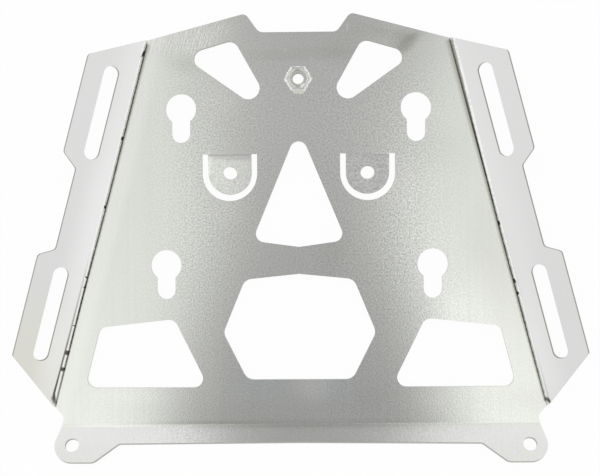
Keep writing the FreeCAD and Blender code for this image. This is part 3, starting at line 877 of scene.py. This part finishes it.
@dataclass
class PressNut:
    """The M8 press nut: a hexagonal shank on a round shoulder, threaded right through."""
    across_flats: float = 14.36
    corner_flat: float = 0.15
    minor_radius: float = 3.45
    thread_pitch: float = 1.25
    thread_depth: float = 0.62
    groove_level: float = 1.5
    groove_slope: float = 3.2
    thread_fade: float = 0.5
    countersink_radius: float = 5.1
    countersink_depth: float = 0.6
    sink_edge: Pair = (0.12, 0.06)
    shank_edge: Pair = (0.25, 0.12)
    exit_chamfer: float = 2.0
    shank_length: float = 3.0
    shoulder_radius: float = 9.0
    height: float = 6.5
    chamfer: float = 0.35
    columns: int = 192
    rows_per_turn: int = 14
    finish: BrightSteel = BrightSteel()

    def hexagon(self, turn: np.ndarray) -> np.ndarray:
        """The shank's radius at each turn about the axis, with corners on the X axis.

        Between two corners it is the apothem divided by the cosine of the turn from the
        flat's middle; a small flat takes off each sharp corner.

        Args:
            turn: The turns, in radians.

        Returns:
            The radii.
        """
        apothem = self.across_flats / 2
        beside = np.mod(turn, math.pi / 3) - math.pi / 6
        corner = apothem / math.cos(math.pi / 6)
        return np.minimum(apothem / np.cos(beside), corner - self.corner_flat)

    def build(self) -> bpy.types.Object:
        """Makes the nut as one ring and dresses it.

        The ring's rows go up the threaded bore, out over the top, down the shank and in
        under the shoulder. In the bore, the radius follows a helix: a groove whose depth
        is a rounded triangle of how far the height is into the present turn of thread.

        Returns:
            The nut, which stands for the frame's plain one.
        """
        turn = np.linspace(0, 2 * math.pi, self.columns, endpoint=False)
        bottom = -self.height
        sink, leave = self.countersink_depth, self.exit_chamfer
        count = int(self.rows_per_turn * (self.height - sink - leave) / self.thread_pitch)
        heights = np.linspace(bottom + leave, -sink, count)[:, None]
        phase = np.mod(heights / self.thread_pitch - turn / (2 * math.pi), 1.0)
        groove = self.groove_level - self.groove_slope * np.abs(phase - 0.5)
        from_ends = np.minimum(heights - heights[0], heights[-1] - heights) / self.thread_fade
        ease = np.clip(from_ends, 0, 1)
        radii = list(self.minor_radius + self.thread_depth * np.clip(groove, 0, 1) * ease)
        levels = [np.full(self.columns, height) for height in heights[:, 0]]

        six = self.hexagon(turn)
        shoulder, chamfer = self.shoulder_radius, self.chamfer
        foot = -self.shank_length
        sink_out, sink_down = self.sink_edge
        shank_in, shank_down = self.shank_edge
        profile = [(self.countersink_radius, -sink_down),
                   (self.countersink_radius + sink_out, 0.0),
                   (six - shank_in, 0.0), (six, -shank_down),
                   (six, foot), (shoulder - chamfer, foot), (shoulder, foot - chamfer),
                   (shoulder, bottom + chamfer), (shoulder - chamfer, bottom),
                   (self.minor_radius + leave, bottom)]
        for radius, level in profile:
            radii.append(np.broadcast_to(radius, self.columns))
            levels.append(np.full(self.columns, level))
        points = around(np.array(radii), turn, np.array(levels))
        nut = grid_mesh("press_nut_threaded", points)
        nut.data.materials.append(self.finish.make())
        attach(nut, "root")
        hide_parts("press_nut")
        return nut


@dataclass(frozen=True)
class BurnishedRim:
    """The sheet's metal round the nut: rubbed bright by the press, and matt where smeared."""
    tint: Colour = (1.0, 1.0, 0.995)
    smeared_tint: Colour = (0.76, 0.775, 0.72)
    smear_place: Pair = (0.3, -8.6)
    smear_half: Pair = (4.7, 1.9)
    smear_soft: float = 0.2
    fine: Texture = Texture(0.6, 3.0)
    sheen: float = 0.22
    fine_matt: float = 0.2
    smear_matt: float = 0.38
    fine_height: float = 0.015

    def make(self) -> bpy.types.Material:
        """Makes the rim's metal.

        Returns:
            The material.
        """
        bench = Bench(bpy.data.materials.new("burnished_rim"))
        place = bench.millimetres()
        fine = self.fine.over(bench, place)
        smear = bench.spot(place, self.smear_place, self.smear_half, soft=self.smear_soft)
        colour = bench.mix(smear, self.tint, self.smeared_tint)
        matt = self.sheen + fine * self.fine_matt + smear * self.smear_matt
        return bench.metal(colour, matt, fine * self.fine_height)


@dataclass
class SeatRim:
    """The lip of sheet that stands up round the pressed nut."""
    nut: PressNut
    inside: float = 0.50
    outside: float = 0.50
    height: float = 0.24
    narrow: float = 0.5
    inner_rough: float = 1.1
    outer_rough: float = 1.4
    height_rough: float = 1.2
    inner_waves: tuple[int, ...] = (9, 15, 23, 37, 58, 83)
    outer_waves: tuple[int, ...] = (7, 11, 17, 26, 41, 63)
    inner_seed: float = 1.9
    outer_seed: float = 0.7
    smear_turn: float = 273.0
    smear_spread: float = 29.0
    smear_gain: float = 1.25
    smear_reach: float = 2.0
    smear_height: float = 0.07
    foot: float = 0.05
    columns: int = 480
    rows: int = 12
    finish: BurnishedRim = BurnishedRim()

    def ragged(self, turn: np.ndarray, waves: tuple[int, ...], seed: float) -> np.ndarray:
        """An uneven level about 0: the mean of sine waves, each some whole times round."""
        counts = np.array(waves)[:, None]
        return np.mean(np.sin(counts * turn + seed * counts ** 2), axis=0)

    def build(self) -> bpy.types.Object:
        """Makes the lip as one closed ring and dresses it.

        Its section is a low ridge above the sheet and a shallow ellipse below, between an
        inner edge just inside the hexagon and an outer one just outside. Towards the plate's
        front it narrows with the square of the turn's sine. Over the smear, a bump of cosine
        shape draws the outer edge out and the lip's height goes down.

        Returns:
            The lip.
        """
        turn = np.linspace(0, 2 * math.pi, self.columns, endpoint=False)
        swing = np.linspace(0, 2 * math.pi, self.rows, endpoint=False)[:, None]
        away = np.degrees(np.abs(turn - math.radians(self.smear_turn))) / self.smear_spread
        smear = np.clip(self.smear_gain * np.cos(np.clip(away, 0, 1) * math.pi / 2), 0, 1)
        edge = self.nut.hexagon(turn)
        inner_edge = self.ragged(turn, self.inner_waves, self.inner_seed)
        outer_edge = self.ragged(turn, self.outer_waves, self.outer_seed)
        wide = 1 - self.narrow * np.clip(np.sin(turn), 0, 1) ** 2
        inner = edge - self.inside * wide * (1 + self.inner_rough * inner_edge)
        outer = (edge + self.outside * wide * (1 + self.outer_rough * outer_edge)
                 + smear * self.smear_reach)
        height = self.height * wide * (1 + self.height_rough * inner_edge)
        height = height * (1 - smear) + self.smear_height * smear
        radius = (inner + outer) / 2 + (outer - inner) / 2 * np.cos(swing)
        lift = np.sin(swing)
        level = np.where(lift > 0, height * (1 - np.abs(np.cos(swing))), self.foot * lift)
        lip = grid_mesh("seat_rim", around(radius, turn, level))
        lip.data.materials.append(self.finish.make())
        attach(lip, "root")
        return lip


@dataclass(frozen=True)
class SoftBoxes:
    """What bare metal mirrors: soft boxes to the left and right with a darker gap between.

    The gap's edge is a soft step of the sideways direction; its width, its middle and the
    levels follow the fore-and-aft direction. Just outside the gap a narrow crest lifts the
    box's level by a share, and just inside it a trough lowers the gap's. All of it is in
    parts of a direction of length 1.
    """
    gap_half: Stops = ((-0.2, 0.13), (-0.15, 0.12), (-0.09, 0.109), (0.02, 0.068), (0.11, 0.083),
                       (0.16, 0.096), (0.65, 0.084))
    gap_middle: Stops = ((-0.5, 0.083), (-0.22, 0.001), (-0.15, 0.001), (-0.09, 0.005),
                         (-0.04, 0.004), (0.03, 0), (0.1, 0.005), (0.148, 0.002), (0.164, 0.02),
                         (0.25, 0.02), (0.35, 0.004))
    gap_level: Stops = ((-0.5, 0.53), (-0.4, 0.53), (-0.22, 0.48), (-0.165, 0.32), (-0.147, 0.31),
                        (-0.127, 0.365), (0.02, 0.43), (0.1, 0.485), (0.13, 0.495), (0.15, 0.45),
                        (0.19, 0.44), (0.25, 0.34), (0.65, 0.37))
    box_level: Stops = ((-0.5, 0.79), (-0.25, 0.98), (-0.18, 1.04), (-0.15, 1.03), (-0.09, 0.98),
                        (-0.03, 0.925), (0.07, 0.865), (0.19, 0.89), (0.26, 0.96), (0.65, 0.965))
    far_level: Stops = ((-0.3, 0.87), (-0.185, 0.92), (-0.06, 0.93))
    crest_left: Stops = ((-0.16, 0.26), (-0.09, 0.05), (0, 0.02), (0.05, 0.04), (0.1, 0),
                         (0.5, 0.1))
    crest_right: Stops = ((-0.16, 0.24), (-0.11, 0.31), (-0.06, 0.52), (-0.02, 0.28), (0.03, 0.09),
                          (0.07, 0.03), (0.1, 0))
    trough_left: Stops = ((-0.17, 0.12), (0.06, 0.11), (0.1, 0))
    trough_right: Stops = ((-0.17, 0.3), (-0.1, 0.27), (-0.02, 0.18), (0.06, 0.12), (0.1, 0))
    gap_shift: float = -0.018
    gap_softness: float = 0.018
    crest_band: Triple = (0.027, 0.012, 0.02)
    trough_band: Triple = (-0.034, 0.012, 0.024)
    right_step: Pair = (-0.02, 0.02)
    far_step: Pair = (0.3, 0.45)
    low_step: Pair = (0.52, 0.12)
    front_step: Pair = (0.3, 0.5)
    low_level: float = 0.45
    gap_tint: Colour = (1.0, 1.0, 0.99)
    box_tint: Colour = (0.990, 1.0, 0.960)
    far_tint: Colour = (1.0, 1.0, 0.995)

    def light(self, bench: Bench) -> Socket:
        """The light's colour from each direction.

        Args:
            bench: The world's bench.

        Returns:
            The colour.
        """
        coordinates = bench.node("ShaderNodeTexCoord").outputs
        sideways, forwards, upwards = bench.axes(coordinates["Generated"])
        middle = forwards.curve(self.gap_middle) + self.gap_shift
        outside = abs(sideways - middle) - forwards.curve(self.gap_half)
        boxes = outside.rise(-self.gap_softness, self.gap_softness)
        right = sideways.rise(*self.right_step)
        crest, trough = (forwards.curve(left).towards(forwards.curve(other), right)
                         for left, other in ((self.crest_left, self.crest_right),
                                             (self.trough_left, self.trough_right)))
        dark = forwards.curve(self.gap_level)
        dark = dark * (1.0 - trough * outside.band(*self.trough_band))
        bright = forwards.curve(self.box_level)
        bright = bright * (crest * outside.band(*self.crest_band) + 1.0)
        far = abs(sideways).rise(*self.far_step)
        bright = bright.towards(forwards.curve(self.far_level), far)
        low = upwards.rise(*self.low_step)
        level = dark.towards(bright, boxes)
        level = level + (self.low_level - level) * low
        tint = bench.mix(boxes, self.gap_tint, self.box_tint)
        edge = far.larger(low).larger(forwards.rise(*self.front_step))
        tint = bench.mix(edge, tint, self.far_tint)
        return bench.vector("SCALE", {0: tint, "Scale": level}).outputs[0]


@dataclass
class Studio:
    """A pale floor, soft boxes overhead and a camera that looks straight down."""
    image_width: int = 600
    image_height: int = 476
    aim: Pair = (0.0, -99.1)
    distance: float = 750.0
    millimetres_per_pixel: float = 0.619957
    picture_centre: Pair = (299.034, 238.032)
    roll: float = 0.3777
    tip: float = -0.4461
    lean: float = -1.1959
    sensor_width: float = 36.0
    sight: float = 20000.0
    floor_half: float = 3000.0
    tab_contact: Pair = (-73.0, -10.25)
    fold_contact: Pair = (-214.0, -3.05)
    paper_tint: Colour = (0.9, 0.9, 0.9)
    floor_glow: float = 0.94
    matt_light: Colour = (0.85, 0.85, 0.85)
    soft_boxes: SoftBoxes = SoftBoxes()
    lamp_size: Pair = (900.0, 900.0)
    lamp_place: Triple = (-150.0, 150.0, 1400.0)
    lamp_power: float = 3.0

    def build_camera(self) -> None:
        """Places the camera, whose turn is the reverse of how the part lies in the view."""
        camera = bpy.data.cameras.new("camera")
        pixel = self.millimetres_per_pixel
        camera.sensor_width = self.sensor_width
        camera.lens = self.sensor_width * self.distance / (self.image_width * pixel)
        camera.clip_end = self.sight * MM
        turn = Matrix.Identity(3)
        for angle, axis in ((self.tip, "X"), (self.lean, "Y"), (self.roll, "Z")):
            turn = turn @ Matrix.Rotation(math.radians(angle), 3, axis)
        turn.transpose()
        offset = Vector(((self.image_width / 2 - self.picture_centre[0]) * pixel,
                         (self.picture_centre[1] - self.image_height / 2) * pixel,
                         self.distance))
        place = (Vector((*self.aim, 0.0)) + turn @ offset) * MM
        holder = linked("camera", camera)
        holder.matrix_world = Matrix.Translation(place) @ turn.to_4x4()
        bpy.context.scene.camera = holder

    def build_floor(self) -> None:
        """A plane through the lines on which the plate rests: its tabs and its rear fold."""
        (tab_y, tab_z), (fold_y, fold_z) = self.tab_contact, self.fold_contact
        slope = (fold_z - tab_z) / (fold_y - tab_y)
        half = self.floor_half
        edge = half * np.array([(-1, -1), (1, -1), (1, 1), (-1, 1)])
        level = tab_z + slope * (edge[:, 1] - tab_y)
        corners = np.column_stack([edge, level]) * MM
        mesh = bpy.data.meshes.new("floor")
        mesh.from_pydata(corners.tolist(), [], [(0, 1, 2, 3)])
        mesh.materials.append(self.floor_finish())
        linked("floor", mesh)

    def floor_finish(self) -> bpy.types.Material:
        """Makes a white with some light of its own where it is seen, so that a faint shadow stays.

        Returns:
            The material.
        """
        bench = Bench(bpy.data.materials.new("white_floor"))
        ray = bench.node("ShaderNodeLightPath").outputs
        seen = Signal(bench, ray["Is Camera Ray"]).larger(Signal(bench, ray["Is Glossy Ray"]))
        paper = bench.node("ShaderNodeBsdfDiffuse", {"Color": self.paper_tint})
        glow = bench.node("ShaderNodeEmission", {"Color": WHITE, "Strength": 1.0})
        both = bench.node("ShaderNodeMixShader", {
            0: seen * self.floor_glow, 1: paper.outputs[0], 2: glow.outputs[0]})
        bench.node("ShaderNodeOutputMaterial", {"Surface": both.outputs[0]})
        return bench.owner

    def build_world(self) -> None:
        """White where it is seen, plain for matt surfaces, and soft boxes in reflections."""
        world = bpy.data.worlds.new("studio")
        bpy.context.scene.world = world
        bench = Bench(world)
        ray = bench.node("ShaderNodeLightPath").outputs
        seen, glossy = Signal(bench, ray["Is Camera Ray"]), Signal(bench, ray["Is Glossy Ray"])
        room = bench.mix(glossy, self.matt_light, self.soft_boxes.light(bench))
        colour = bench.mix(seen, room, WHITE)
        sky = bench.node("ShaderNodeBackground", {"Color": colour, "Strength": 1.0})
        bench.node("ShaderNodeOutputWorld", {"Surface": sky.outputs[0]})

    def add_lamp(self) -> None:
        """One broad soft lamp overhead, which gives the floor its faint shadow."""
        lamp = bpy.data.lights.new("soft_lamp", "AREA")
        lamp.shape = "RECTANGLE"
        lamp.size, lamp.size_y = (length * MM for length in self.lamp_size)
        lamp.energy = self.lamp_power
        holder = linked("soft_lamp", lamp)
        holder.location = Vector(self.lamp_place) * MM
        holder.visible_camera = False
        holder.visible_glossy = False

    def build(self) -> None:
        """Makes the whole studio."""
        bpy.context.scene.view_settings.view_transform = "Standard"
        self.build_camera()
        self.build_floor()
        self.build_world()
        self.add_lamp()


def main() -> None:
    """Builds each piece in turn and reports it."""
    logging.basicConfig(level=logging.INFO, format="%(message)s", stream=sys.stdout)
    nut = PressNut()
    for maker in (FoldedPlate(), nut, SeatRim(nut)):
        piece = maker.build()
        logging.info("%s: %d faces", piece.name, len(piece.data.polygons))
    Studio().build()
    logging.info("studio: %d lamps", len(bpy.data.lights))


if __name__ == "__main__":
    main()
